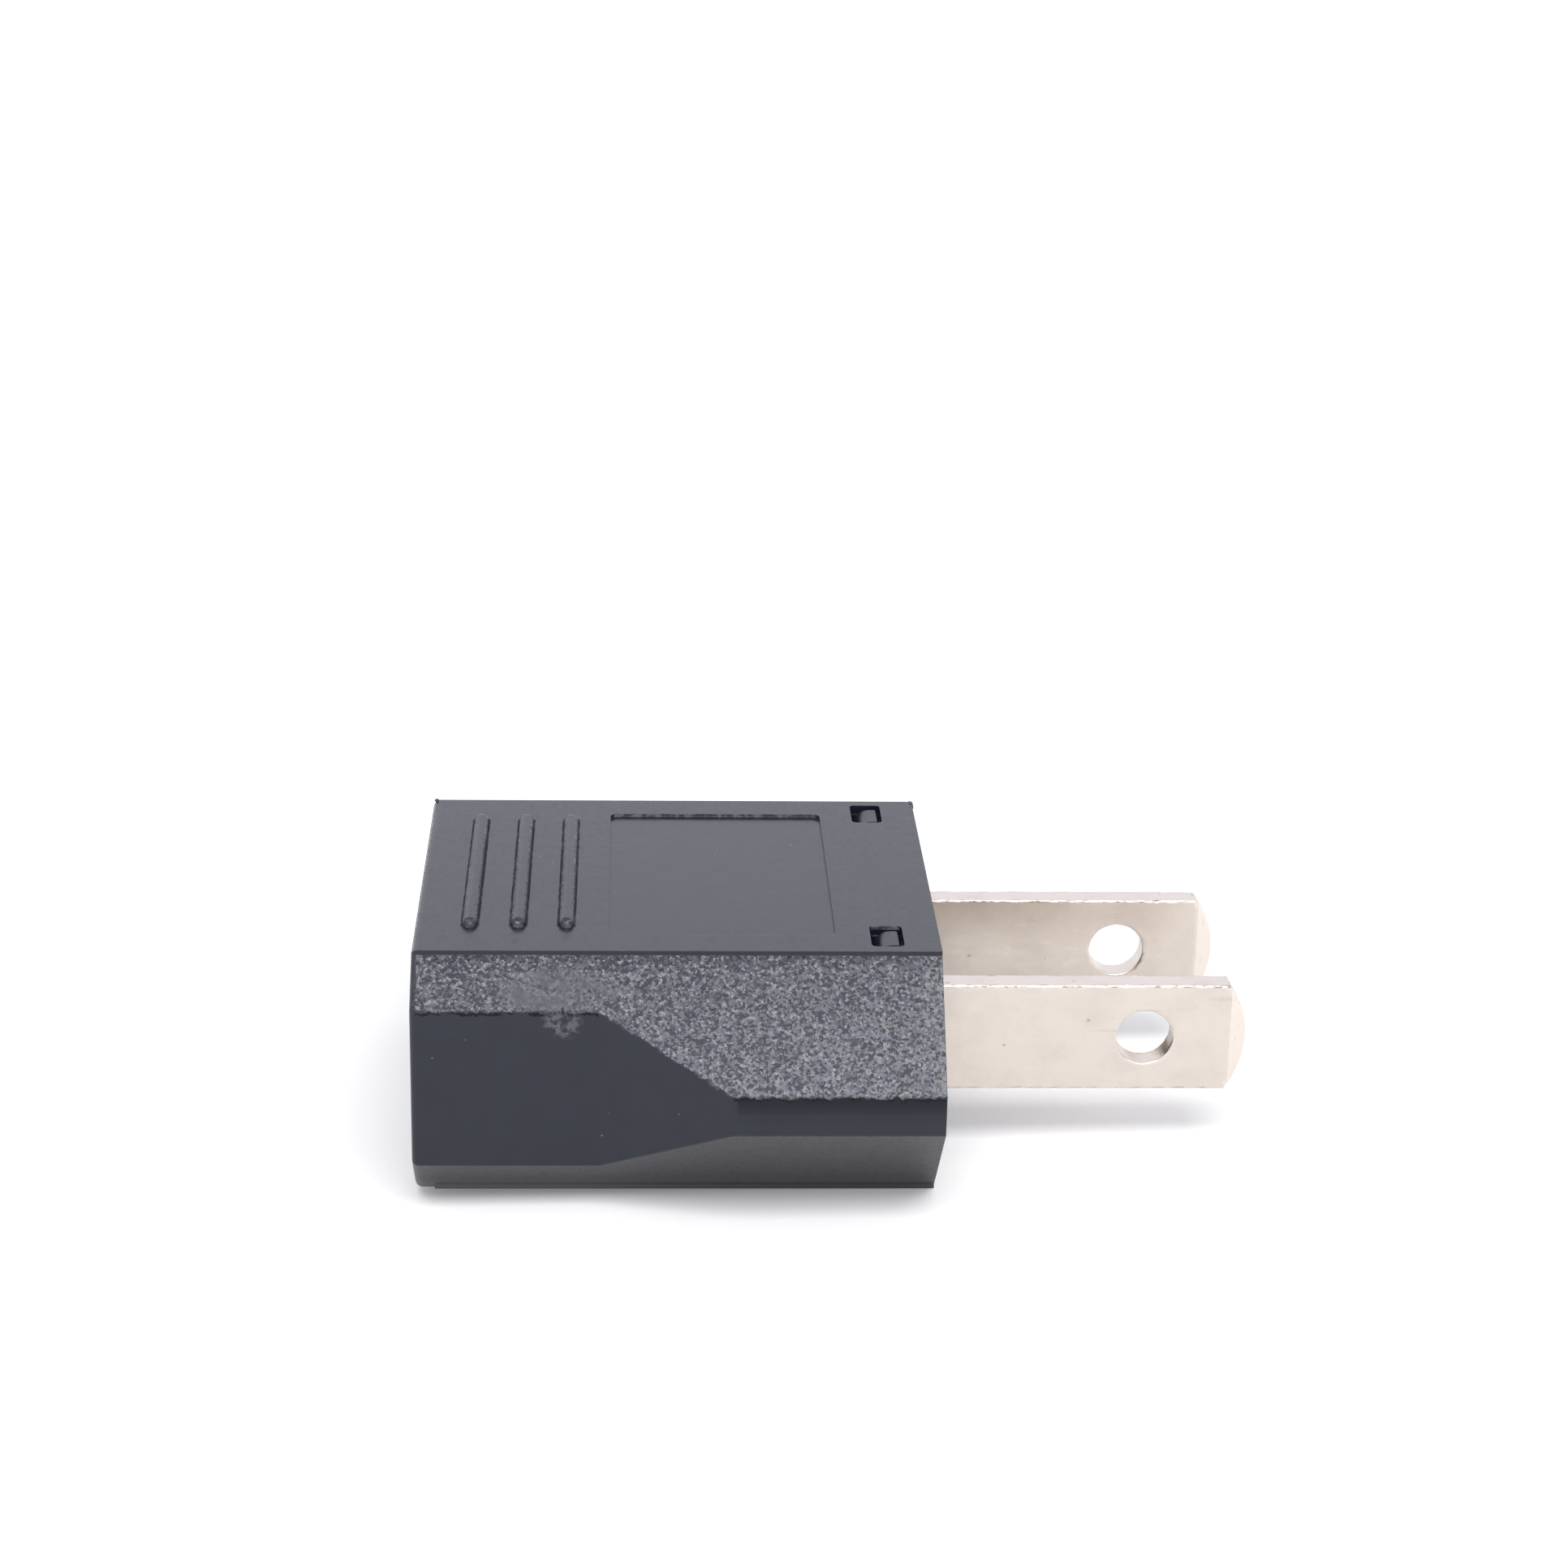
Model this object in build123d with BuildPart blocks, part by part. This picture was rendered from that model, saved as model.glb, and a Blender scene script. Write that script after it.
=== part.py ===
from build123d import *
import os

os.makedirs("parts", exist_ok=True)

# Travel adapter: a round-pin socket at the -X end, two flat blades at the +X end.
# Origin: centre of the overall box in plan, at the crests of the lower grip ribs. Millimetres, +Z up.

# Body
BODY_LENGTH = 28.8
BODY_HEIGHT = 14.3
WIDE = 34.8  # width at the blade end
NARROW = 27.9  # width at the socket end
FLAT_WIDTH = 23.3  # width of the flat top and bottom
LAND = 0.26  # upright step between each flat and its 45 degree chamfers
WAIST_START = 10.2  # from the socket face to where the side walls begin to slant out
WAIST_END = 17.35
WAIST_RADIUS = 0.9
WALL = 1.2
END_WALL = 2.2
SOCKET_EDGE = 0.4  # radius round the socket face
SIDE_EDGE = 0.25  # radius where the side walls meet the chamfers
LOWER_LAND_START = 1.1  # the lower lands begin this far from the socket face

# Grip ribs, half round with ball ends, on the top and the bottom
RIB_COUNT = 3
RIB_PITCH = 2.65
RIB_FIRST = 3.03  # from the socket face
RIB_LENGTH = 16.8
RIB_RADIUS = 0.45

# Label recess, left bare
RECESS_LENGTH = 12.45
RECESS_WIDTH = 18.8
RECESS_DEPTH = 0.2
RECESS_END = 5.7  # from the plug face
RECESS_RADIUS = 0.5

# Snap windows and barbs
WINDOW_LENGTH = 1.8
WINDOW_WIDTH = 2.9
WINDOW_END = 2.0  # from the plug face
WINDOW_RADIUS = 0.3
WINDOW_Y = 9.5
WINDOW_LEDGE = 0.1  # the inner half of each window is smaller all round by this
WINDOW_LEDGE_DEPTH = 0.55
BARB_GAP = 0.1
BARB_DEPTH = 0.12  # of the barb's crest below the flat
BARB_CREST = 0.3
BARB_ROUND = 0.15
BARB_BACK_DEPTH = 0.75

# Blade carrier
RIM = 0.8  # wall left round the end plate
PLATE = 1.8
PLATE_GAP = 0.06
ARM_WIDTH = 2.0
ARM_THICKNESS = 1.0
ARM_DROP = 0.1  # below the inside of the housing wall
ARM_SLIT = 0.9
BRIDGE_END = 9.6  # from the plug face to the near side of the arms' bridge
BRIDGE = 1.3
GUIDE_LENGTH = 2.1
GUIDE_THICKNESS = 1.2
GUIDE_HEIGHT = 7.0
BLADE_PLAY = 0.05

# Blades, to the standard sizes
BLADE_REACH = 17.8
BLADE_WIDTH = 6.35
BLADE_THICKNESS = 1.5
BLADE_SPACING = 12.7
TIP_RADIUS = 5.1
TIP_BEVEL = 0.95
TIP_FLAT = 0.7  # thickness left at the tip
LOCK_HOLE = 3.175
LOCK_HOLE_X = 12.03  # from the plug face
TANG_LENGTH = 9.5
TANG_WIDTH = 8.0

# Socket and spring contacts
PIN_SPACING = 19.0
APERTURE = 5.0
APERTURE_CHAMFER = 0.5
SLEEVE_BORE = 3.8
STRIP = 0.5
SLEEVE_START = 2.4  # from the socket face
SLEEVE_END = 17.9
SLEEVE_SLIT = 1.4
FLARE = 0.2
FLARE_LENGTH = 1.0
TAIL_WIDTH = 4.0
NECK_WIDTH = 2.4
NECK_END = 19.4
TAIL_END = 24.7
CHAMBER_WALL = 0.9
FIN = 0.8
FIN_GAP = 0.25

# Rivets
RIVET_X = 6.0  # behind the plug face
RIVET_SHANK = 2.0
RIVET_HEAD = 3.4
RIVET_HEAD_EDGE = 0.2
RIVET_HEAD_HEIGHT = 0.6

# Places worked out from the sizes above
TIP_X = (BODY_LENGTH + BLADE_REACH) / 2
SOCKET_X = -TIP_X
PLUG_X = SOCKET_X + BODY_LENGTH
BOTTOM_Z = RIB_RADIUS
TOP_Z = BOTTOM_Z + BODY_HEIGHT
MID_Z = BOTTOM_Z + BODY_HEIGHT / 2
BLADE_Y = BLADE_SPACING / 2
BLADE_OUTER_Y = BLADE_Y + BLADE_THICKNESS / 2
PIN_Y = PIN_SPACING / 2
SLEEVE_R = SLEEVE_BORE / 2 + STRIP
WINDOW_X = PLUG_X - WINDOW_END - WINDOW_LENGTH / 2
SIDES = (1, -1)


def end_plane(x, facing=1):
    """A plane square to X at mid height, with its own x along +Y."""
    return Plane(origin=(x, 0, MID_Z), x_dir=(0, 1, 0), z_dir=(facing, 0, 0))


def side_plane(y, facing=-1):
    """A plane square to Y at mid height, with its own x along +X."""
    return Plane(origin=(0, y, MID_Z), x_dir=(1, 0, 0), z_dir=(0, facing, 0))


def waisted_form(start, end, inset=0.0):
    """The body's form between two planes across X, with each long face moved in by inset."""
    half_height = BODY_HEIGHT / 2
    half_flat = FLAT_WIDTH / 2 - LAND
    reach = half_flat + half_height
    with BuildPart() as form:
        with BuildSketch(end_plane(start)):
            with BuildLine():
                Polyline(
                    (-half_flat, half_height),
                    (half_flat, half_height),
                    (reach, 0),
                    (half_flat, -half_height),
                    (-half_flat, -half_height),
                    (-reach, 0),
                    close=True,
                )
            make_face()
            offset(amount=-inset, kind=Kind.INTERSECTION)
        extrude(amount=end - start)
        with BuildSketch():
            with BuildLine():
                Polyline(
                    (SOCKET_X - BODY_LENGTH, NARROW / 2),
                    (SOCKET_X + WAIST_START, NARROW / 2),
                    (SOCKET_X + WAIST_END, WIDE / 2),
                    (PLUG_X + BODY_LENGTH, WIDE / 2),
                    (PLUG_X + BODY_LENGTH, -WIDE / 2),
                    (SOCKET_X + WAIST_END, -WIDE / 2),
                    (SOCKET_X + WAIST_START, -NARROW / 2),
                    (SOCKET_X - BODY_LENGTH, -NARROW / 2),
                    close=True,
                )
            make_face()
            bends = [v for v in vertices() if SOCKET_X < v.X < PLUG_X]
            fillet(bends, WAIST_RADIUS)
            offset(amount=-inset, kind=Kind.INTERSECTION)
        extrude(amount=TOP_Z, mode=Mode.INTERSECT)
    return form.part


outer_form = waisted_form(SOCKET_X, PLUG_X)
cavity = waisted_form(SOCKET_X + END_WALL, PLUG_X, WALL)
seat = waisted_form(PLUG_X - PLATE, PLUG_X, RIM)
end_plate = waisted_form(PLUG_X - PLATE, PLUG_X, RIM + PLATE_GAP)

# The flats stand proud of the chamfers by the land
with BuildPart() as flats:
    with BuildSketch(end_plane(SOCKET_X)):
        with Locations((0, BODY_HEIGHT / 4)):
            Rectangle(FLAT_WIDTH, BODY_HEIGHT / 2)
    extrude(amount=BODY_LENGTH)
    fillet(flats.faces().sort_by(Axis.X)[0].edges().sort_by(Axis.Z)[1:], SOCKET_EDGE)
    with BuildSketch(end_plane(SOCKET_X + LOWER_LAND_START)):
        with Locations((0, -BODY_HEIGHT / 4)):
            Rectangle(FLAT_WIDTH, BODY_HEIGHT / 2)
    extrude(amount=BODY_LENGTH - LOWER_LAND_START)

# Housing: one moulded shell, open at the blade end
with BuildPart() as housing:
    add(outer_form)
    side_edges = housing.edges().filter_by(
        lambda e: abs(e.center().Y) > NARROW / 2 - 0.1
        and abs(e.center().Z - MID_Z) > 0.5
        and SOCKET_X + 0.1 < e.center().X < PLUG_X - 0.1
    )
    fillet(side_edges, SIDE_EDGE)
    fillet(housing.faces().sort_by(Axis.X)[0].edges(), SOCKET_EDGE)
    add(flats.part)
    add(cavity, mode=Mode.SUBTRACT)
    add(seat, mode=Mode.SUBTRACT)

    # Grip ribs
    for i in range(RIB_COUNT):
        rib_x = SOCKET_X + RIB_FIRST + i * RIB_PITCH
        for face in (TOP_Z, BOTTOM_Z):
            with BuildSketch(Plane.XY.offset(face)):
                with Locations((rib_x, 0)):
                    SlotOverall(RIB_LENGTH, 2 * RIB_RADIUS, rotation=90)
                with Locations((rib_x - RIB_RADIUS / 2, 0)):
                    Rectangle(RIB_RADIUS, RIB_LENGTH, mode=Mode.SUBTRACT)
            revolve(axis=Axis((rib_x, 0, face), (0, 1, 0)))

    # Label recess
    with BuildSketch(Plane.XY.offset(TOP_Z)):
        with Locations((PLUG_X - RECESS_END - RECESS_LENGTH / 2, 0)):
            RectangleRounded(RECESS_LENGTH, RECESS_WIDTH, RECESS_RADIUS)
    extrude(amount=-RECESS_DEPTH, mode=Mode.SUBTRACT)

    # Snap windows, through the top and the bottom, with a ledge half way through the wall
    with BuildSketch(Plane.XY.offset(MID_Z)):
        with Locations((WINDOW_X, WINDOW_Y), (WINDOW_X, -WINDOW_Y)):
            RectangleRounded(
                WINDOW_LENGTH - 2 * WINDOW_LEDGE,
                WINDOW_WIDTH - 2 * WINDOW_LEDGE,
                WINDOW_RADIUS - WINDOW_LEDGE,
            )
    extrude(amount=BODY_HEIGHT / 2, both=True, mode=Mode.SUBTRACT)
    for face, inward in ((TOP_Z, -1), (BOTTOM_Z, 1)):
        with BuildSketch(Plane.XY.offset(face)):
            with Locations((WINDOW_X, WINDOW_Y), (WINDOW_X, -WINDOW_Y)):
                RectangleRounded(WINDOW_LENGTH, WINDOW_WIDTH, WINDOW_RADIUS)
        extrude(amount=inward * WINDOW_LEDGE_DEPTH, mode=Mode.SUBTRACT)

    # Walls between the two contact chambers, and fins above and below each sleeve
    chamber_y = PIN_Y - SLEEVE_R - FIN_GAP - CHAMBER_WALL / 2
    chamber_end = SOCKET_X + SLEEVE_END
    inner_height = BODY_HEIGHT - 2 * WALL
    fin_height = inner_height / 2 - SLEEVE_R - FIN_GAP
    with BuildSketch(end_plane(SOCKET_X + END_WALL)):
        with Locations((chamber_y, 0), (-chamber_y, 0)):
            Rectangle(CHAMBER_WALL, inner_height)
        with GridLocations(PIN_SPACING, inner_height - fin_height, 2, 2):
            Rectangle(FIN, fin_height)
    extrude(amount=chamber_end - SOCKET_X - END_WALL)

    # Socket apertures with their lead-in
    with Locations(end_plane(SOCKET_X, -1)):
        with Locations((PIN_Y, 0), (-PIN_Y, 0)):
            CounterSinkHole(
                radius=APERTURE / 2,
                counter_sink_radius=APERTURE / 2 + APERTURE_CHAMFER,
                depth=END_WALL,
                counter_sink_angle=90,
            )

housing.part.label = "housing"
export_step(housing.part, "parts/housing.step")

# Blade carrier: an end plate, blade guides, and snap arms that return towards the plate
PLATE_BACK_X = PLUG_X - PLATE
ARM_TOP = BODY_HEIGHT / 2 - WALL - ARM_DROP  # above mid height
ARM_BOTTOM = ARM_TOP - ARM_THICKNESS
TONGUE_TOP = ARM_BOTTOM - ARM_SLIT
BRIDGE_X = PLUG_X - BRIDGE_END
BARB_FRONT_X = WINDOW_X + WINDOW_LENGTH / 2 - WINDOW_LEDGE - BARB_GAP
BARB_BACK_X = WINDOW_X - WINDOW_LENGTH / 2 + WINDOW_LEDGE + BARB_GAP / 2
CREST_X = BARB_FRONT_X - BARB_ROUND
CREST_Z = BODY_HEIGHT / 2 - BARB_DEPTH
RAMP_X = CREST_X - BARB_CREST

with BuildPart() as blade_carrier:
    add(end_plate)
    for side in SIDES:
        with BuildSketch(side_plane(side * WINDOW_Y + ARM_WIDTH / 2)):
            with BuildLine():
                Polyline(
                    (PLATE_BACK_X, TONGUE_TOP),
                    (BRIDGE_X, TONGUE_TOP),
                    (BRIDGE_X, ARM_BOTTOM),
                    (BARB_FRONT_X, ARM_BOTTOM),
                    (BARB_FRONT_X, CREST_Z - BARB_ROUND),
                )
                CenterArc((CREST_X, CREST_Z - BARB_ROUND), BARB_ROUND, start_angle=0, arc_size=90)
                Line((CREST_X, CREST_Z), (RAMP_X, CREST_Z))
                Spline(
                    (RAMP_X, CREST_Z),
                    (BARB_BACK_X, BODY_HEIGHT / 2 - BARB_BACK_DEPTH),
                    tangents=((-1, 0), (-1, -1)),
                )
                Polyline(
                    (BARB_BACK_X, BODY_HEIGHT / 2 - BARB_BACK_DEPTH),
                    (BARB_BACK_X, ARM_TOP),
                    (BRIDGE_X - BRIDGE, ARM_TOP),
                    (BRIDGE_X - BRIDGE, 0),
                    (PLATE_BACK_X, 0),
                    (PLATE_BACK_X, TONGUE_TOP),
                )
            make_face()
            mirror(about=Plane.XZ)
        extrude(amount=ARM_WIDTH)

    # Guides on both sides of each blade
    inner_guide_y = BLADE_Y - BLADE_THICKNESS / 2 - BLADE_PLAY - GUIDE_THICKNESS / 2
    outer_guide_near = BLADE_OUTER_Y + BLADE_PLAY
    outer_guide_far = WINDOW_Y - ARM_WIDTH / 2
    with BuildSketch(end_plane(PLATE_BACK_X, -1)):
        for side in SIDES:
            with Locations((side * inner_guide_y, 0)):
                Rectangle(GUIDE_THICKNESS, GUIDE_HEIGHT)
            with Locations((side * (outer_guide_near + outer_guide_far) / 2, 0)):
                Rectangle(outer_guide_far - outer_guide_near, GUIDE_HEIGHT)
    extrude(amount=GUIDE_LENGTH)

    # Blade slots
    with BuildSketch(end_plane(PLUG_X)):
        with Locations((BLADE_Y, 0), (-BLADE_Y, 0)):
            Rectangle(BLADE_THICKNESS + 2 * BLADE_PLAY, BLADE_WIDTH + 2 * BLADE_PLAY)
    extrude(amount=-PLATE, mode=Mode.SUBTRACT)

blade_carrier.part.label = "blade_carrier"
export_step(blade_carrier.part, "parts/blade_carrier.step")


def make_blade(side):
    """One flat blade: its outline from the side, crossed with its tapered section from above."""
    sag = TIP_RADIUS - (TIP_RADIUS**2 - (BLADE_WIDTH / 2) ** 2) ** 0.5
    tang_x = PLUG_X - TANG_LENGTH
    shoulder_x = PLATE_BACK_X
    with BuildPart() as blade:
        with BuildSketch(side_plane(side * BLADE_Y)):
            with BuildLine():
                Polyline(
                    (TIP_X - sag, BLADE_WIDTH / 2),
                    (shoulder_x, BLADE_WIDTH / 2),
                    (shoulder_x, TANG_WIDTH / 2),
                    (tang_x, TANG_WIDTH / 2),
                    (tang_x, -TANG_WIDTH / 2),
                    (shoulder_x, -TANG_WIDTH / 2),
                    (shoulder_x, -BLADE_WIDTH / 2),
                    (TIP_X - sag, -BLADE_WIDTH / 2),
                )
                ThreePointArc(
                    (TIP_X - sag, -BLADE_WIDTH / 2),
                    (TIP_X, 0),
                    (TIP_X - sag, BLADE_WIDTH / 2),
                )
            make_face()
            with Locations((PLUG_X + LOCK_HOLE_X, 0)):
                Circle(LOCK_HOLE / 2, mode=Mode.SUBTRACT)
            with Locations((PLUG_X - RIVET_X, 0)):
                Circle(RIVET_SHANK / 2, mode=Mode.SUBTRACT)
        extrude(amount=BLADE_THICKNESS / 2, both=True)
        with BuildSketch():
            with BuildLine():
                Polyline(
                    (tang_x, side * BLADE_Y - BLADE_THICKNESS / 2),
                    (TIP_X - TIP_BEVEL, side * BLADE_Y - BLADE_THICKNESS / 2),
                    (TIP_X, side * BLADE_Y - TIP_FLAT / 2),
                    (TIP_X, side * BLADE_Y + TIP_FLAT / 2),
                    (TIP_X - TIP_BEVEL, side * BLADE_Y + BLADE_THICKNESS / 2),
                    (tang_x, side * BLADE_Y + BLADE_THICKNESS / 2),
                    close=True,
                )
            make_face()
        extrude(amount=TOP_Z, mode=Mode.INTERSECT)
    return blade.part


def make_contact(side):
    """One spring strip: a split sleeve with a flared mouth, a neck, and a flat tail."""
    start = SOCKET_X + SLEEVE_START
    end = SOCKET_X + SLEEVE_END
    with BuildPart() as contact:
        with BuildSketch(side_plane(side * PIN_Y)):
            with BuildLine():
                Polyline(
                    (start, SLEEVE_R - STRIP + FLARE),
                    (start + FLARE_LENGTH, SLEEVE_R - STRIP),
                    (end, SLEEVE_R - STRIP),
                    (end, SLEEVE_R),
                    (start + FLARE_LENGTH, SLEEVE_R),
                    (start, SLEEVE_R + FLARE),
                    close=True,
                )
            make_face()
        revolve(axis=Axis((0, side * PIN_Y, MID_Z), (1, 0, 0)))
        with BuildSketch(side_plane(side * PIN_Y, side)):
            with Locations(((start + end) / 2, 0)):
                Rectangle(end - start, SLEEVE_SLIT)
        extrude(amount=SLEEVE_R + FLARE, mode=Mode.SUBTRACT)
        neck_start = end - (NECK_END - SLEEVE_END)
        neck_end = SOCKET_X + NECK_END
        tail_end = SOCKET_X + TAIL_END
        with BuildSketch(side_plane(side * BLADE_OUTER_Y, side)):
            with Locations(((neck_start + neck_end) / 2, 0)):
                Rectangle(neck_end - neck_start, NECK_WIDTH)
            with Locations(((neck_end + tail_end) / 2, 0)):
                Rectangle(tail_end - neck_end, TAIL_WIDTH)
            with Locations((PLUG_X - RIVET_X, 0)):
                Circle(RIVET_SHANK / 2, mode=Mode.SUBTRACT)
        extrude(amount=STRIP)
    return contact.part


for name, side in (("left", 1), ("right", -1)):
    blade = make_blade(side)
    blade.label = f"blade_{name}"
    export_step(blade, f"parts/blade_{name}.step")
    contact = make_contact(side)
    contact.label = f"contact_{name}"
    export_step(contact, f"parts/contact_{name}.step")

# Rivets: one through each blade and tail, with a crowned head on both sides
with BuildPart() as contact_rivets:
    for side in SIDES:
        grip = BLADE_THICKNESS + STRIP
        mid_y = side * (BLADE_Y - BLADE_THICKNESS / 2 + grip / 2)
        with BuildSketch(Plane(origin=(PLUG_X - RIVET_X, mid_y, MID_Z), z_dir=(0, 0, 1))):
            with BuildLine():
                Polyline(
                    (0, grip / 2 + RIVET_HEAD_HEIGHT),
                    (0, 0),
                    (RIVET_SHANK / 2, 0),
                    (RIVET_SHANK / 2, grip / 2),
                    (RIVET_HEAD / 2, grip / 2),
                    (RIVET_HEAD / 2, grip / 2 + RIVET_HEAD_EDGE),
                )
                TangentArc(
                    (0, grip / 2 + RIVET_HEAD_HEIGHT),
                    (RIVET_HEAD / 2, grip / 2 + RIVET_HEAD_EDGE),
                    tangent=(1, 0),
                )
            make_face()
            mirror(about=Plane.XZ)
        revolve(axis=Axis((PLUG_X - RIVET_X, mid_y, MID_Z), (0, 1, 0)))

contact_rivets.part.label = "contact_rivets"
export_step(contact_rivets.part, "parts/contact_rivets.step")
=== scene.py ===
import math
from types import SimpleNamespace

import bmesh
import bpy
from mathutils import Matrix, Vector, noise


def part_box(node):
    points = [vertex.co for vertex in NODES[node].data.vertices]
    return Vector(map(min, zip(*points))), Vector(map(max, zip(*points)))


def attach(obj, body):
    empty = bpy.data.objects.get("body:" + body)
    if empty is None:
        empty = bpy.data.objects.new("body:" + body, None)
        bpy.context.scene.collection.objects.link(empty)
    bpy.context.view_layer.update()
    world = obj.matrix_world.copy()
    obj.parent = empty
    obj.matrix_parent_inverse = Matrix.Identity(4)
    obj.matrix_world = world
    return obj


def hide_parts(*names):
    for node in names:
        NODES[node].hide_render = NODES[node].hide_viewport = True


# A black travel adapter on white paper. The CAD nodes get procedural materials, the blades are
# replaced by copies with sheared edges, and two lumps of moulding flash are added.
# +X runs along the blades, +Z is up, and lengths are in metres.

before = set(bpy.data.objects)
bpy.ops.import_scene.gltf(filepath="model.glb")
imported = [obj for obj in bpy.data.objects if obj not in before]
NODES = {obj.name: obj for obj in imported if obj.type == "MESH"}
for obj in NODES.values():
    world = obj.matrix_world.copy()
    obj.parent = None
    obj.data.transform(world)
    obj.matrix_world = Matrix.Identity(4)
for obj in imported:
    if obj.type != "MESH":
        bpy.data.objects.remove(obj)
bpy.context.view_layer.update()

MM = 0.001

# Places on the object, from the frame and the CAD's own sizes
HOUSING_LOW, HOUSING_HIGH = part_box("housing")
SOCKET_X = HOUSING_LOW.x
PLUG_X = HOUSING_HIGH.x
RIB_RADIUS = 0.45 * MM
FIRST_RIB_X = SOCKET_X + 3.03 * MM
RIB_PITCH = 2.65 * MM
LAST_RIB_X = FIRST_RIB_X + 2 * RIB_PITCH
RIB_HALF_LENGTH = 8.4 * MM
TOP_Z = HOUSING_HIGH.z - RIB_RADIUS  # the upper flat, which the ribs stand on
BOTTOM_Z = RIB_RADIUS  # the lower flat
MID_Z = (TOP_Z + BOTTOM_Z) / 2
HALF_HEIGHT = 7.15 * MM  # from mid height to a flat
FLAT_HALF = 11.65 * MM  # half the width of a flat
CHAMFER_REACH = 18.54 * MM  # height off mid height plus distance off the axis, on a chamfer
WAIST_END = SOCKET_X + 17.35 * MM  # where the slanted walls end and the wide part starts
RECESS_HALF = 9.4 * MM
BLADE_TOP_Z = MID_Z + 3.175 * MM

# Marks of use on the near side: each one's centre and half sizes
WORN_CENTRE = (SOCKET_X + 7.8 * MM, -FLAT_HALF - 1.6 * MM, TOP_Z - 1.6 * MM)
WORN_RADII = (4.2 * MM, 1.7 * MM, 1.7 * MM)
SCUFF_CENTRE = (SOCKET_X + 8.2 * MM, -FLAT_HALF - 2.3 * MM, TOP_Z - 3.2 * MM)
SCUFF_RADII = (1.3 * MM, 0.8 * MM, 1.2 * MM)

# Moulding flash at the back corners of the top: each lump's centre, and its half sizes in mm
FLASH_LUMPS = (
    ((PLUG_X - 0.04 * MM, FLAT_HALF - 0.22 * MM, TOP_Z - 0.16 * MM), (0.17, 0.42, 0.22)),
    ((SOCKET_X + 0.20 * MM, FLAT_HALF - 0.08 * MM, TOP_Z - 0.03 * MM), (0.14, 0.20, 0.10)),
)

# Sheared edges of the blades
SHEAR_ROUND = 0.07 * MM
SHEAR_SHARP = math.radians(24)  # the least angle of an edge that is rounded
SHEAR_REACH = 0.15 * MM  # how far in from a face the edge is ragged
SHEAR_RAGGED = 0.03 * MM
LONGEST_EDGE = 0.35 * MM  # of the refined mesh

# Camera, as solved from the photograph
PHOTO_PIXELS = 1932
FOCAL_PIXELS = 4309.4
SENSOR_WIDTH = 36.0
EYE = Vector((-11.391, -186.296, 88.461)) * MM
ELEVATION = math.radians(20.124)
YAW = math.radians(2.649)
ROLL = math.radians(1.161)

# Studio light. Radiance is in units of the white background.
SKY_DIFFUSE = (0.64, 0.64, 0.68)
SKY_SEEN = (1.05, 1.06, 1.15)
SOFTBOX_RADIANCE = 8.0
SOFTBOX_SIZE = (0.46, 0.22)
SOFTBOX_PLACE = (0.02, -0.32, 0.51)
FLOOR_SIZE = 4.0
FLOOR_ALBEDO = (0.78, 0.78, 0.78)
FLOOR_SEEN = (0.95, 0.95, 0.95)
FLOOR_LIFT_NEAR = 0.16  # glow that brings the paper up to white, close to the object
FLOOR_LIFT_FAR = 0.6  # and from FLOOR_FAR on
FLOOR_NEAR = 0.03
FLOOR_FAR = 0.15

# Plastic
PLASTIC_BLACK = (0.0095, 0.0120, 0.0225)
LOWER_GREY = (0.0215, 0.0215, 0.0290)
FOOT_GREY = (0.0850, 0.0820, 0.0950)
# Pale grey of the chamfers' grain, partly the grain's own and partly painted glints; also the
# painted highlight on the recess's far wall
GRAIN_AND_GLINT_GREY = (0.1900, 0.1890, 0.2000)
GRAIN_AND_GLINT_LILAC = (0.1800, 0.1760, 0.2140)
DUST_GREY = (0.5, 0.5, 0.52)
PLASTIC_IOR = 1.5
WALL_ROUGHNESS = 0.34
RECESS_ROUGHNESS = 0.22
GRAIN_ROUGHNESS = 0.26
WORN_ROUGHNESS = 0.5
CREASE_ROUGHNESS = 0.95
CRISP_EDGE = 0.06 * MM
SOFT_EDGE = 0.16 * MM

# Spark-eroded grain of the chamfers: pits with small facets, called grit, all over them
GRAIN_SIZE = 0.30 * MM
GRAIN_DEPTH = 0.04 * MM
GRIT_SIZE = 0.14 * MM
GRIT_SHARE = 0.78  # of the grit, against the pits, in where the grain is pale
GRAIN_LOW = 0.38  # at this height the grain is darkest
GRAIN_HIGH = 0.90  # and at this height it is palest
FACET_TURN = 0.75

# Metals
NICKEL = (0.765, 0.690, 0.620)
BRONZE = (0.640, 0.420, 0.240)
BRASS = (0.720, 0.530, 0.270)
PITTED = 0.4  # brightness of pits, scratches and nicks
TIP_HIGHLIGHT = 1.12  # brightness of the painted highlight on the coined bevels of a tip


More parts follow.
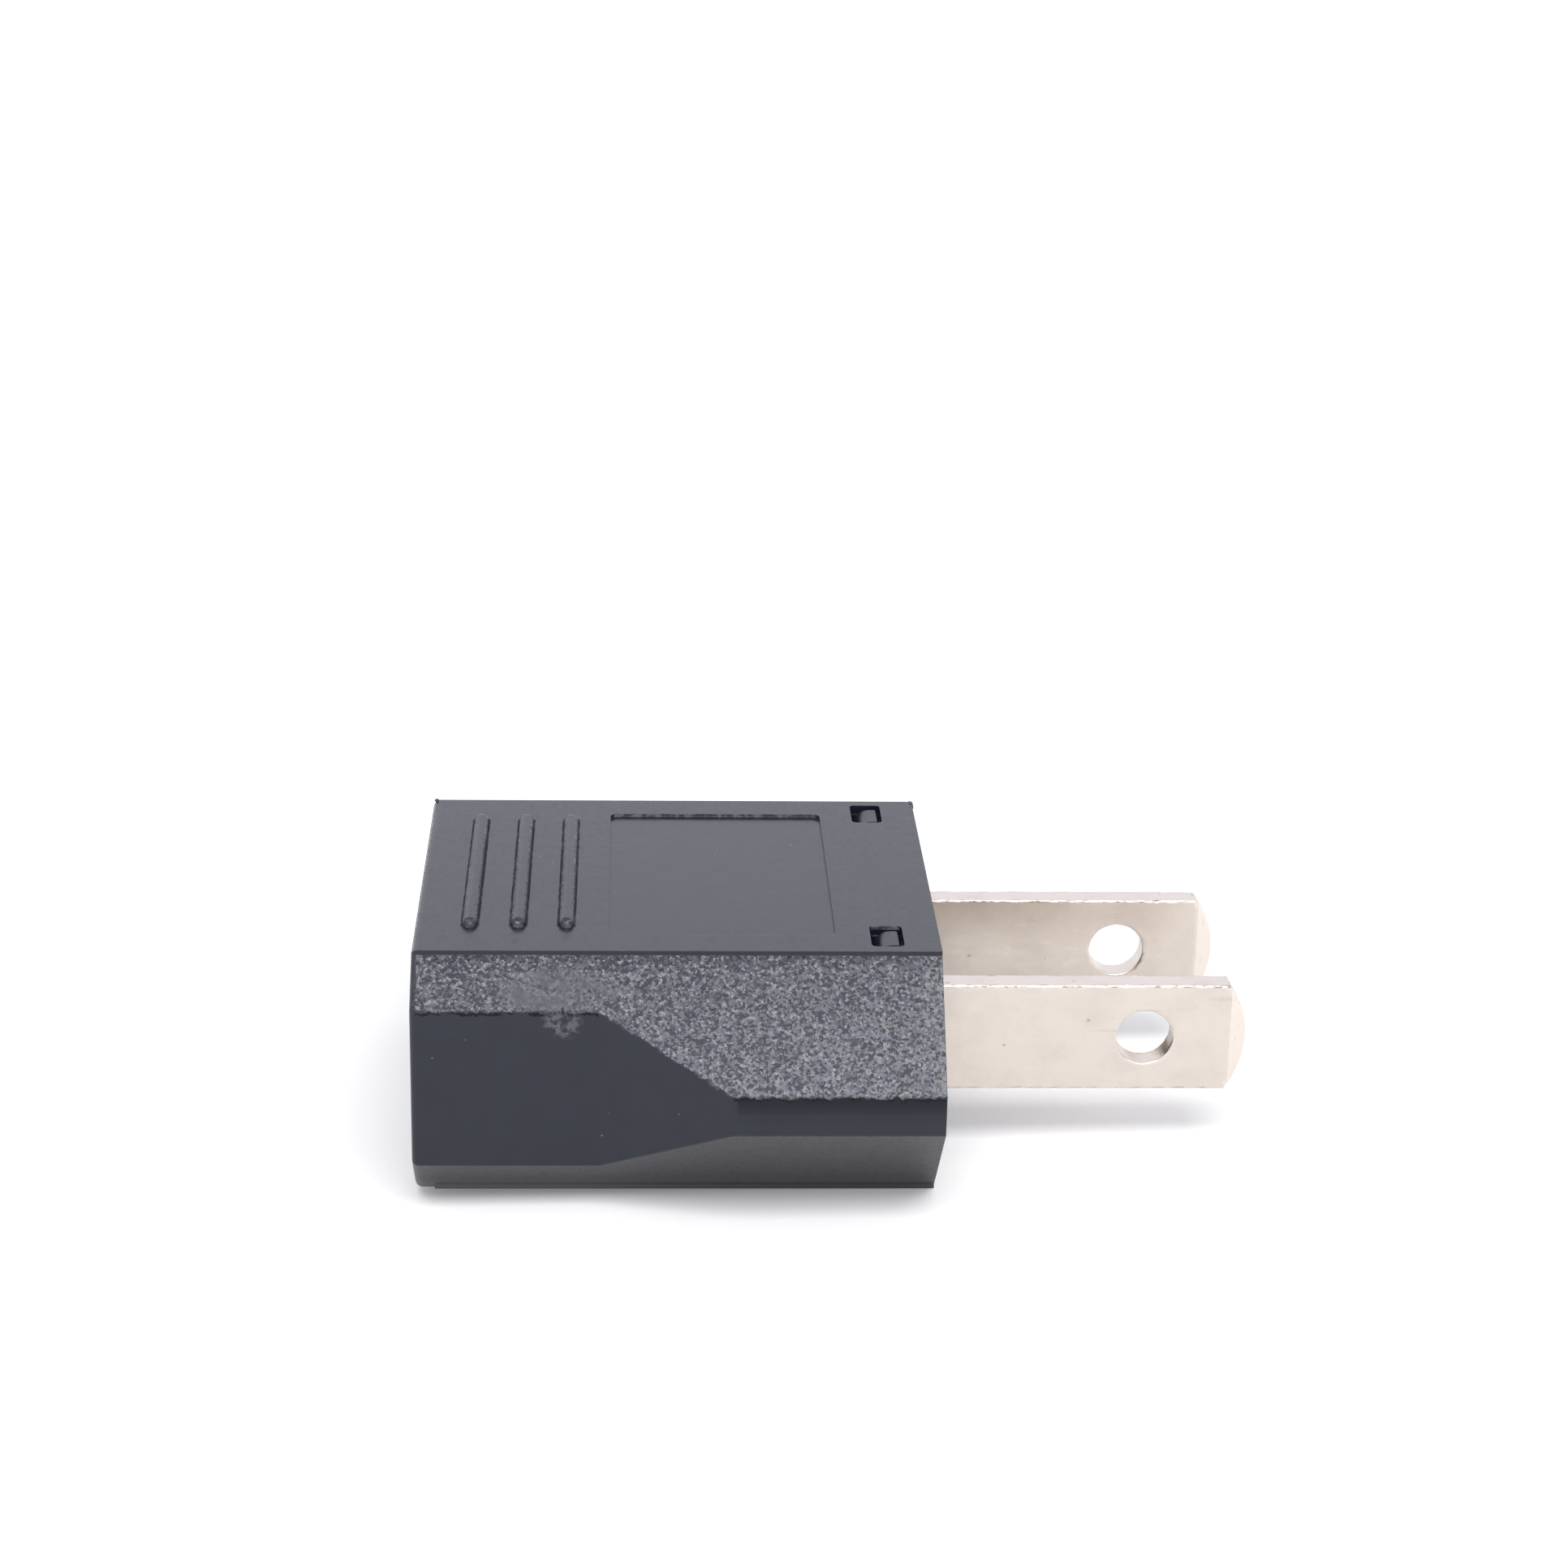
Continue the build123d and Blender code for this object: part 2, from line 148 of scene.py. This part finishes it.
class Graph:
    """Short calls that add nodes to one material's tree and return their outputs.

    A value is an output to link, or a plain number or colour. A mask runs from 0 to 1.
    """

    def __init__(self, material):
        material.use_nodes = True
        self.tree = material.node_tree
        self.shader = self.tree.nodes.get("Principled BSDF")
        self.place = self.add("ShaderNodeTexCoord").outputs["Object"]

    def add(self, kind, **settings):
        node = self.tree.nodes.new(kind)
        for name, value in settings.items():
            setattr(node, name, value)
        return node

    def put(self, value, socket):
        """Links an output to a socket, or sets a plain value on it."""
        if isinstance(value, bpy.types.NodeSocket):
            self.tree.links.new(value, socket)
        else:
            socket.default_value = value

    def math(self, operation, a, b=0.0):
        node = self.add("ShaderNodeMath", operation=operation)
        self.put(a, node.inputs[0])
        self.put(b, node.inputs[1])
        return node.outputs[0]

    def times(self, first, *others):
        """The product of all the values."""
        for value in others:
            first = self.math("MULTIPLY", first, value)
        return first

    def vector(self, operation, a, b):
        """A vector operation on a and b, where SCALE takes a number as b."""
        node = self.add("ShaderNodeVectorMath", operation=operation)
        self.put(a, node.inputs[0])
        self.put(b, node.inputs["Scale" if operation == "SCALE" else 1])
        return node.outputs[0]

    def length(self, vector):
        node = self.add("ShaderNodeVectorMath", operation="LENGTH")
        self.put(vector, node.inputs[0])
        return node.outputs["Value"]

    def axes(self, vector):
        node = self.add("ShaderNodeSeparateXYZ")
        self.put(vector, node.inputs[0])
        return node.outputs

    def ramp(self, value, start, end, low=0.0, high=1.0):
        """Goes smoothly from low to high as value goes from start to end."""
        node = self.add("ShaderNodeMapRange", interpolation_type="SMOOTHSTEP")
        for name, item in (
            ("Value", value),
            ("From Min", start),
            ("From Max", end),
            ("To Min", low),
            ("To Max", high),
        ):
            self.put(item, node.inputs[name])
        return node.outputs[0]

    def band(self, value, low, high, soft):
        """1 where value is between low and high, with soft edges."""
        rise = self.ramp(value, low - soft, low + soft)
        fall = self.ramp(value, high - soft, high + soft, 1.0, 0.0)
        return self.times(rise, fall)

    def mix(self, mask, a, b):
        """The number a where the mask is 0, and b where it is 1."""
        node = self.add("ShaderNodeMix", data_type="FLOAT")
        self.put(mask, node.inputs[0])
        self.put(a, node.inputs[2])
        self.put(b, node.inputs[3])
        return node.outputs[0]

    def outside(self, mask):
        """1 where the mask is 0."""
        return self.mix(mask, 1.0, 0.0)

    def blend(self, mask, a, b):
        """The colour a where the mask is 0, and b where it is 1."""
        node = self.add("ShaderNodeMix", data_type="RGBA")
        self.put(mask, node.inputs[0])
        for colour, socket in ((a, node.inputs[6]), (b, node.inputs[7])):
            self.put((*colour, 1.0) if isinstance(colour, tuple) else colour, socket)
        return node.outputs[2]

    def noise(self, size, detail=2.0, roughness=0.5, stretch=(1, 1, 1)):
        """Noise whose lumps are about size across."""
        mapping = self.add("ShaderNodeMapping")
        self.put(self.place, mapping.inputs["Vector"])
        mapping.inputs["Scale"].default_value = stretch
        node = self.add("ShaderNodeTexNoise")
        self.put(mapping.outputs[0], node.inputs["Vector"])
        node.inputs["Scale"].default_value = 1 / size
        node.inputs["Detail"].default_value = detail
        node.inputs["Roughness"].default_value = roughness
        return node.outputs["Fac"]

    def cells(self, size, place=None):
        """The distance from the nearest of many scattered points, and that point's colour."""
        node = self.add("ShaderNodeTexVoronoi")
        self.put(self.place if place is None else place, node.inputs["Vector"])
        node.inputs["Scale"].default_value = 1 / size
        return node.outputs["Distance"], node.outputs["Color"]

    def shaken(self, size, reach):
        """The place on the object, moved to and fro by up to reach in lumps of the size."""
        node = self.add("ShaderNodeTexNoise")
        self.put(self.place, node.inputs["Vector"])
        node.inputs["Scale"].default_value = 1 / size
        node.inputs["Detail"].default_value = 0.0
        shift = self.add("ShaderNodeVectorMath", operation="MULTIPLY_ADD")
        self.put(node.outputs["Color"], shift.inputs[0])
        shift.inputs[1].default_value = (reach, reach, reach)
        self.put(self.place, shift.inputs[2])
        return shift.outputs[0]

    def spot(self, centre, radii):
        """1 inside a soft oval about centre, falling to 0 at the radii."""
        shift = self.vector("SUBTRACT", self.place, centre)
        reach = self.length(self.vector("DIVIDE", shift, radii))
        return self.ramp(reach, 0.45, 1.0, 1.0, 0.0)

    def rounded(self, radius):
        """The normal, with the small rounding that every moulded edge has."""
        node = self.add("ShaderNodeBevel", samples=4)
        self.put(radius, node.inputs["Radius"])
        return node.outputs[0]

    def bump(self, height, depth, strength=1.0, below=None):
        """The normal below, with relief that is depth deep."""
        node = self.add("ShaderNodeBump")
        self.put(strength, node.inputs["Strength"])
        node.inputs["Distance"].default_value = depth
        self.put(height, node.inputs["Height"])
        if below is not None:
            self.put(below, node.inputs["Normal"])
        return node.outputs[0]

    def facets(self, random, strength, below):
        """The normal below, turned a little another way on each cell."""
        centred = self.vector("SUBTRACT", random, (0.5, 0.5, 0.5))
        turned = self.vector("ADD", self.vector("SCALE", centred, strength), below)
        node = self.add("ShaderNodeVectorMath", operation="NORMALIZE")
        self.put(turned, node.inputs[0])
        return node.outputs[0]


def new_material(name):
    material = bpy.data.materials.new(name)
    return material, Graph(material)


def housing_places(g):
    """Where a point on the housing is, as distances and masks."""
    x, y, z = g.axes(g.place)[0:3]
    normal = g.axes(g.add("ShaderNodeNewGeometry").outputs["True Normal"])
    tilt = g.math("ABSOLUTE", normal[2])
    return SimpleNamespace(
        x=x,
        z=z,
        off_axis=g.math("ABSOLUTE", y),
        off_mid=g.math("ABSOLUTE", g.math("SUBTRACT", z, MID_Z)),
        flat=g.ramp(tilt, 0.9, 0.95),
        slope=g.band(tilt, 0.6, 0.8, 0.05),
        slanted=g.ramp(g.math("ABSOLUTE", normal[0]), 0.1, 0.3),
        sideways=g.ramp(g.math("ABSOLUTE", normal[1]), 0.7, 0.9),
        upper=g.ramp(z, MID_Z - 1 * MM, MID_Z + 1 * MM),
    )


def housing_lumps(g):
    """Noise of several sizes, which breaks up the housing's surface."""
    grit = g.cells(GRIT_SIZE, g.shaken(0.10 * MM, 0.15 * MM))[1]
    return SimpleNamespace(
        pits=g.noise(GRAIN_SIZE, 1.0),
        grit=grit,
        grit_tone=g.axes(grit)[0],
        fine=g.noise(0.07 * MM, 2.0, 0.6),
        mottle=g.noise(0.34 * MM, 3.0, 0.65, (1.0, 0.45, 1.0)),
        marks=g.noise(0.45 * MM, 3.0, 0.65),
        coarse=g.noise(0.9 * MM, 3.0, 0.6),
        clouds=g.noise(1.6 * MM, 4.0, 0.6),
    )


def chamfer_masks(g, at, lumps):
    """The chamfers, with the ragged lower edge where the grain ends, and the painted shade under
    it.
    """
    depth = g.math("SUBTRACT", CHAMFER_REACH, g.math("ADD", at.off_mid, at.off_axis))
    shift = g.times(g.math("SUBTRACT", lumps.marks, 0.5), 0.6 * MM)
    ragged = g.math("SUBTRACT", depth, shift)
    side = g.times(g.ramp(at.off_mid, HALF_HEIGHT - 0.45 * MM, HALF_HEIGHT - 0.5 * MM), at.upper)
    spill = g.times(side, g.ramp(ragged, 0.10 * MM, 0.04 * MM))
    chamfer = g.math("MAXIMUM", at.slope, spill)

    # Painted shade: a thin, broken line, and on the wide part a broad band
    broken = g.mix(at.slanted, g.ramp(lumps.coarse, 0.36, 0.46), 0.0)
    painted_shade_line = g.times(side, g.band(ragged, 0.10 * MM, 0.26 * MM, 0.04 * MM), broken)
    wavy = g.math("ADD", depth, g.times(lumps.coarse, 0.3 * MM))
    band = g.times(
        side,
        g.ramp(ragged, 0.06 * MM, 0.12 * MM),
        g.ramp(wavy, 1.45 * MM, 1.15 * MM),
        g.ramp(at.x, WAIST_END, WAIST_END + 0.4 * MM),
        g.outside(at.slanted),
    )
    return chamfer, g.math("MAXIMUM", painted_shade_line, g.times(band, 0.8))


def painted_rib_shade(g, at, lumps):
    """Painted shade: dark, broken lines where the grip ribs meet the flats."""
    off_rib = g.math("PINGPONG", g.math("SUBTRACT", at.x, FIRST_RIB_X), RIB_PITCH / 2)
    return g.times(
        g.band(off_rib, RIB_RADIUS - 0.06 * MM, RIB_RADIUS + 0.06 * MM, 0.03 * MM),
        g.band(at.x, FIRST_RIB_X - 1 * MM, LAST_RIB_X + 1 * MM, 0.1 * MM),
        g.ramp(at.off_axis, RIB_HALF_LENGTH, RIB_HALF_LENGTH - 0.2 * MM),
        g.ramp(at.off_mid, HALF_HEIGHT - 0.05 * MM, HALF_HEIGHT - 0.02 * MM),
        g.ramp(lumps.coarse, 0.38, 0.56, 0.45, 1.0),
    )


def housing_normal(g, at, lumps, mottled, rough):
    """Rounded edges, then soft waves, a satin skin, and the grain of the chamfers."""
    # Soft edges where the walls meet the lower chamfers, crisp ones above
    edge = g.rounded(g.mix(at.upper, SOFT_EDGE, CRISP_EDGE))
    waves = g.bump(lumps.clouds, 0.05 * MM, g.mix(at.flat, 0.35, 0.12), edge)
    dents = g.times(
        g.ramp(g.cells(0.8 * MM)[0], 0.16, 0.02),
        g.ramp(lumps.clouds, 0.5, 0.6),
        at.flat,
    )
    relief = g.math("SUBTRACT", g.math("ADD", lumps.marks, g.times(lumps.fine, 0.3)), dents)
    relief = g.math("ADD", relief, g.times(lumps.mottle, mottled))
    satin = g.bump(relief, 0.008 * MM, 0.5, waves)
    pitted = g.bump(lumps.pits, GRAIN_DEPTH, rough, satin)
    return g.facets(lumps.grit, g.times(rough, FACET_TURN), pitted)


def pale_grain_and_painted_light(g, at, lumps, grain):
    """How pale the grain is, partly its own grey and partly painted glints: most on its peaks,
    paler towards the foot and the blade end as painted light, and darker just under the top edge.
    """
    height = g.mix(GRIT_SHARE, lumps.pits, lumps.grit_tone)
    return g.times(
        g.ramp(height, GRAIN_LOW, GRAIN_HIGH, 0.2, 1.0),
        grain,
        g.ramp(at.off_mid, HALF_HEIGHT - 0.2 * MM, HALF_HEIGHT - 1.0 * MM, 0.4, 0.8),
        g.ramp(at.off_mid, HALF_HEIGHT - 0.5 * MM, HALF_HEIGHT - 5.5 * MM, 0.9, 1.3),
        g.ramp(at.x, SOCKET_X + 4 * MM, PLUG_X, 0.85, 1.1),
    )


def make_housing_plastic():
    """Black plastic: spark-eroded chamfers, satin walls, and finely mottled flats."""
    material, g = new_material("housing_plastic")
    at = housing_places(g)
    lumps = housing_lumps(g)
    chamfer, painted_shade_below_chamfer = chamfer_masks(g, at, lumps)
    # Painted shade: dark lines under the chamfers' grain and beside the grip ribs
    painted_crease_shade = g.math("MAXIMUM", painted_shade_below_chamfer, painted_rib_shade(g, at, lumps))

    # The flats are mottled, but not the floor of the recess
    raised = g.ramp(at.off_mid, HALF_HEIGHT - 0.15 * MM, HALF_HEIGHT - 0.1 * MM)
    mottled = g.times(at.flat, raised)

    # The grain is calmer near both ends, worn where a thumb rubs it, and faint below
    middle = g.times(
        g.ramp(at.x, SOCKET_X + 0.3 * MM, SOCKET_X + 0.9 * MM),
        g.ramp(at.x, PLUG_X, PLUG_X - 2.2 * MM),
    )
    patchy = g.mix(g.ramp(lumps.clouds, 0.42, 0.58), 0.55, 1.0)
    worn = g.times(g.spot(WORN_CENTRE, WORN_RADII), patchy)
    grain = g.times(
        chamfer,
        g.mix(middle, 0.4, 1.0),
        g.mix(at.upper, 0.08, 1.0),
        g.mix(worn, 1.0, 0.15),
    )
    scuff = g.times(
        g.spot(SCUFF_CENTRE, SCUFF_RADII),
        g.ramp(lumps.pits, 0.42, 0.58),
        g.ramp(lumps.marks, 0.38, 0.52),
    )
    rough = g.math("ADD", grain, g.times(scuff, 0.3))
    g.put(housing_normal(g, at, lumps, mottled, rough), g.shader.inputs["Normal"])

    # Black with a random tone, darkened by painted shade in the creases, a little paler on the
    # lower chamfers and at the foot
    tone = g.times(g.ramp(lumps.clouds, 0.3, 0.7, 0.88, 1.12), g.mix(painted_crease_shade, 1.0, 0.2))
    colour = g.vector("SCALE", PLASTIC_BLACK, tone)
    colour = g.blend(g.times(at.slope, g.outside(at.upper)), colour, LOWER_GREY)
    foot = g.times(g.ramp(at.z, BOTTOM_Z + 1.3 * MM, BOTTOM_Z + 0.1 * MM), g.outside(at.flat))
    colour = g.blend(foot, colour, FOOT_GREY)

    # The recess's far wall catches the light
    lip = g.times(
        at.sideways,
        g.ramp(at.off_mid, HALF_HEIGHT - 0.25 * MM, HALF_HEIGHT - 0.2 * MM),
        g.ramp(at.off_axis, RECESS_HALF + 0.3 * MM, RECESS_HALF + 0.2 * MM),
        g.ramp(lumps.marks, 0.42, 0.6, 0.25, 0.9),
    )
    colour = g.blend(lip, colour, GRAIN_AND_GLINT_GREY)

    # The grain with its painted glints, the marks of use on it, and small specks of dust
    grey = g.blend(g.ramp(lumps.coarse, 0.4, 0.6), GRAIN_AND_GLINT_GREY, GRAIN_AND_GLINT_LILAC)
    colour = g.blend(pale_grain_and_painted_light(g, at, lumps, grain), colour, grey)
    polish = g.times(worn, chamfer, g.ramp(lumps.marks, 0.3, 0.7, 0.05, 0.2))
    colour = g.blend(polish, colour, GRAIN_AND_GLINT_GREY)
    colour = g.blend(g.times(scuff, 0.5), colour, GRAIN_AND_GLINT_GREY)
    dust = g.times(g.ramp(g.cells(1.1 * MM)[0], 0.045, 0.03), g.ramp(g.noise(3.0 * MM), 0.5, 0.6))
    colour = g.blend(g.times(dust, 0.5), colour, DUST_GREY)
    g.put(colour, g.shader.inputs["Base Color"])

    on_flats = g.mix(mottled, RECESS_ROUGHNESS, g.ramp(lumps.mottle, 0.3, 0.7, 0.18, 0.28))
    on_chamfers = g.mix(at.upper, WALL_ROUGHNESS, g.mix(worn, GRAIN_ROUGHNESS, WORN_ROUGHNESS))
    roughness = g.mix(chamfer, g.mix(at.flat, WALL_ROUGHNESS, on_flats), on_chamfers)
    roughness = g.math("ADD", roughness, g.ramp(lumps.marks, 0.3, 0.7, -0.03, 0.03))
    g.put(g.mix(painted_crease_shade, roughness, CREASE_ROUGHNESS), g.shader.inputs["Roughness"])
    g.shader.inputs["IOR"].default_value = PLASTIC_IOR
    return material


def make_carrier_plastic():
    """The same black plastic, from a smoother mould."""
    material, g = new_material("carrier_plastic")
    clouds = g.noise(1.4 * MM, 4.0, 0.6)
    fine = g.noise(0.12 * MM, 2.0, 0.6)
    g.put(g.bump(fine, 0.01 * MM, 0.4, g.rounded(CRISP_EDGE)), g.shader.inputs["Normal"])
    tone = g.ramp(clouds, 0.3, 0.7, 0.9, 1.3)
    g.put(g.vector("SCALE", PLASTIC_BLACK, tone), g.shader.inputs["Base Color"])
    g.put(g.ramp(clouds, 0.3, 0.7, 0.26, 0.34), g.shader.inputs["Roughness"])
    g.shader.inputs["IOR"].default_value = PLASTIC_IOR
    return material


def scaled(colour, factor):
    """A plain colour times a factor, up to white."""
    return tuple(min(1.0, value * factor) for value in colour)


def make_metal(name, colour, roughness, stain, pit_size):
    """Sheet metal with a rolled grain, stains, small pits and scratches, and nicked edges."""
    material, g = new_material(name)
    clouds = g.noise(2.2 * MM, 4.0, 0.6)
    spots = g.noise(0.6 * MM, 3.0, 0.6)
    rolled = g.noise(0.5 * MM, 3.0, 0.6, (0.25, 1.0, 1.0))
    g.put(g.bump(rolled, 0.0024 * MM, 0.4), g.shader.inputs["Normal"])

    dull = scaled(colour, stain)
    dark = scaled(colour, PITTED)
    tinted = g.blend(g.ramp(clouds, 0.42, 0.72), colour, dull)
    tinted = g.blend(g.times(g.ramp(spots, 0.5, 0.7), 0.35), tinted, dull)
    pits = g.times(
        g.ramp(g.cells(pit_size, g.shaken(0.20 * MM, 0.18 * MM))[0], 0.12, 0.05),
        g.ramp(g.noise(2.6 * MM), 0.50, 0.58),
    )
    scratches = g.ramp(g.noise(0.35 * MM, 2.0, 0.5, (0.08, 1.0, 1.0)), 0.67, 0.73)
    flaws = g.math("MAXIMUM", pits, g.times(scratches, 0.25))
    tinted = g.blend(g.times(flaws, 0.6), tinted, dark)

    # Painted highlight: the coined bevels of a tip are painted brighter than the rolled faces
    normal = g.axes(g.add("ShaderNodeNewGeometry").outputs["True Normal"])
    sideways = g.ramp(g.math("ABSOLUTE", normal[1]), 0.7, 0.8)
    tip_highlight = g.times(g.ramp(normal[0], 0.04, 0.08), sideways)
    tinted = g.blend(tip_highlight, tinted, scaled(colour, TIP_HIGHLIGHT))

    # Dark nicks in the burr along the blades' sheared top edges
    height = g.axes(g.place)[2]
    burr = g.band(height, BLADE_TOP_Z - 0.12 * MM, BLADE_TOP_Z - 0.02 * MM, 0.02 * MM)
    nicks = g.times(burr, g.ramp(g.noise(0.30 * MM, 3.0, 0.6), 0.46, 0.56))
    g.put(g.blend(g.times(nicks, 0.85), tinted, dark), g.shader.inputs["Base Color"])
    uneven = g.ramp(rolled, 0.3, 0.7, roughness - 0.03, roughness + 0.04)
    g.put(uneven, g.shader.inputs["Roughness"])
    g.shader.inputs["Metallic"].default_value = 1.0
    return material


def add_object(name, data):
    item = bpy.data.objects.new(name, data)
    bpy.context.scene.collection.objects.link(item)
    return item


def aim(item, place, right, up, back):
    """Puts an object at a place, with its own axes along right, up and back."""
    turn = Matrix((right, up, back)).transposed().to_4x4()
    item.matrix_world = Matrix.Translation(place) @ turn


def make_camera():
    """The camera at the photograph's place and angle."""
    level = math.cos(ELEVATION)
    forward = Vector((math.sin(YAW) * level, math.cos(YAW) * level, -math.sin(ELEVATION)))
    level_right = Vector((math.cos(YAW), -math.sin(YAW), 0))
    level_up = level_right.cross(forward)
    right = math.cos(ROLL) * level_right + math.sin(ROLL) * level_up
    camera = add_object("camera", bpy.data.cameras.new("camera"))
    aim(camera, EYE, right, right.cross(forward), -forward)
    camera.data.sensor_width = SENSOR_WIDTH
    camera.data.lens = FOCAL_PIXELS / PHOTO_PIXELS * SENSOR_WIDTH
    camera.data.clip_start = 0.01
    camera.data.clip_end = 20.0
    bpy.context.scene.camera = camera


def seen_switch(tree):
    """1 for camera, glossy and transmission rays, 0 for the rest."""
    path = tree.nodes.new("ShaderNodeLightPath")
    total = path.outputs["Is Camera Ray"]
    for name in ("Is Glossy Ray", "Is Transmission Ray"):
        either = tree.nodes.new("ShaderNodeMath")
        either.operation = "MAXIMUM"
        tree.links.new(total, either.inputs[0])
        tree.links.new(path.outputs[name], either.inputs[1])
        total = either.outputs[0]
    return total


def make_world():
    """A white surround that is seen at full strength and lights the object softly."""
    world = bpy.data.worlds.new("studio")
    bpy.context.scene.world = world
    world.use_nodes = True
    tree = world.node_tree
    colour = tree.nodes.new("ShaderNodeMix")
    colour.data_type = "RGBA"
    colour.inputs[6].default_value = (*SKY_DIFFUSE, 1.0)
    colour.inputs[7].default_value = (*SKY_SEEN, 1.0)
    tree.links.new(seen_switch(tree), colour.inputs[0])
    tree.links.new(colour.outputs[2], tree.nodes["Background"].inputs["Color"])


def make_softbox(name, place, size, radiance):
    """A soft light of the given radiance, its long side level along X, aimed at the object."""
    light = bpy.data.lights.new(name, "AREA")
    light.shape = "RECTANGLE"
    light.size, light.size_y = size
    light.energy = radiance * math.pi * size[0] * size[1]
    back = Vector(place).normalized()
    side = Vector((0, 1, 0)).cross(back).normalized()
    aim(add_object(name, light), place, side, back.cross(side), back)


def make_floor():
    """White paper that touches the lower grip ribs and the plug end's lower edge."""
    half = FLOOR_SIZE / 2
    corners = [(-half, -half, 0), (half, -half, 0), (half, half, 0), (-half, half, 0)]
    mesh = bpy.data.meshes.new("floor")
    mesh.from_pydata(corners, [], [(0, 1, 2, 3)])
    floor = add_object("floor", mesh)
    tilt = math.atan(RIB_RADIUS / (PLUG_X - LAST_RIB_X))
    turn = Matrix.Rotation(-tilt, 4, "Y")
    floor.matrix_world = Matrix.Translation((LAST_RIB_X, 0, 0)) @ turn

    # Paper that takes the shadow, with a glow that brings it up to white away from the object
    material, g = new_material("floor_paper")
    paper = g.add("ShaderNodeBsdfDiffuse")
    camera_ray = g.add("ShaderNodeLightPath").outputs["Is Camera Ray"]
    g.put(g.blend(camera_ray, FLOOR_ALBEDO, FLOOR_SEEN), paper.inputs["Color"])
    reach = g.length(g.place)
    lift = g.ramp(reach, FLOOR_NEAR, FLOOR_FAR, FLOOR_LIFT_NEAR, FLOOR_LIFT_FAR)
    glow = g.add("ShaderNodeEmission")
    g.put(g.times(seen_switch(g.tree), lift), glow.inputs["Strength"])
    both = g.add("ShaderNodeAddShader")
    g.put(paper.outputs[0], both.inputs[0])
    g.put(glow.outputs[0], both.inputs[1])
    g.tree.nodes.remove(g.shader)
    g.put(both.outputs[0], g.tree.nodes["Material Output"].inputs["Surface"])
    mesh.materials.append(material)


def give(node, material):
    """Puts one material on a CAD node."""
    mesh = NODES[node].data
    mesh.materials.clear()
    mesh.materials.append(material)


def smooth_piece(bm, mesh, material):
    """Ends the work on a mesh and adds it to the scene, smooth and in one material."""
    for face in bm.faces:
        face.smooth = True
    bm.to_mesh(mesh)
    bm.free()
    mesh.materials.clear()
    mesh.materials.append(material)
    return add_object(mesh.name, mesh)


def shear_dip(place):
    """How far in a sheared edge lies at a place: 0 or less, from two sizes of noise."""
    waves = noise.noise(place / (0.35 * MM)) + 0.6 * noise.noise(place / (0.14 * MM))
    return min(0.0, SHEAR_RAGGED * (waves - 0.35))


def refined_blade(node, material):
    """The blade with the rolled and slightly ragged edges that shearing leaves."""
    mesh = NODES[node].data.copy()
    mesh.name = node + "_sheared"
    bm = bmesh.new()
    bm.from_mesh(mesh)
    bmesh.ops.remove_doubles(bm, verts=bm.verts, dist=0.001 * MM)
    bmesh.ops.dissolve_limit(bm, angle_limit=math.radians(0.5), verts=bm.verts, edges=bm.edges)
    sharp = [e for e in bm.edges if len(e.link_faces) == 2 and e.calc_face_angle() > SHEAR_SHARP]
    bmesh.ops.bevel(
        bm,
        geom=sharp,
        offset=SHEAR_ROUND,
        segments=3,
        profile=0.5,
        affect="EDGES",
        clamp_overlap=True,
    )

    # Small triangles, so that the edges can be ragged
    bmesh.ops.triangulate(bm, faces=bm.faces)
    for _ in range(6):
        long_edges = [e for e in bm.edges if e.calc_length() > LONGEST_EDGE]
        if not long_edges:
            break
        bmesh.ops.subdivide_edges(bm, edges=long_edges, cuts=1)
        bmesh.ops.triangulate(bm, faces=bm.faces)

    # Nothing moves outwards, so the blade stays inside the CAD's
    low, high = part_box(node)
    bm.normal_update()
    for vert in bm.verts:
        near_face = min(vert.co.y - low.y, high.y - vert.co.y) < SHEAR_REACH
        on_edge = abs(vert.normal.y) < 0.97
        if near_face and on_edge:
            vert.co += vert.normal * shear_dip(vert.co)
    blade = smooth_piece(bm, mesh, material)
    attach(blade, "root")
    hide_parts(node)


def make_flash(material):
    """Two small lumps of moulding flash at the back corners of the top."""
    bm = bmesh.new()
    for centre, radii in FLASH_LUMPS:
        ball = bmesh.ops.create_icosphere(bm, subdivisions=4, radius=1.0)
        for vert in ball["verts"]:
            lump = 1 + 0.35 * noise.noise(vert.co * 1.3) + 0.15 * noise.noise(vert.co * 3.1)
            shape = Vector([side * radius for side, radius in zip(vert.co, radii)])
            vert.co = Vector(centre) + shape * lump * MM
    flash = smooth_piece(bm, bpy.data.meshes.new("mould_flash"), material)
    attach(flash, "root")


make_camera()
make_world()
make_floor()
make_softbox("key", SOFTBOX_PLACE, SOFTBOX_SIZE, SOFTBOX_RADIANCE)

plastic = make_housing_plastic()
give("housing", plastic)
make_flash(plastic)
give("blade_carrier", make_carrier_plastic())
nickel = make_metal("nickel_plate", NICKEL, roughness=0.30, stain=0.93, pit_size=1.3 * MM)
refined_blade("blade_left", nickel)
refined_blade("blade_right", nickel)
bronze = make_metal("spring_bronze", BRONZE, roughness=0.34, stain=0.8, pit_size=0.9 * MM)
give("contact_left", bronze)
give("contact_right", bronze)
brass = make_metal("rivet_brass", BRASS, roughness=0.28, stain=0.85, pit_size=0.7 * MM)
give("contact_rivets", brass)

bpy.context.scene.view_settings.view_transform = "Standard"
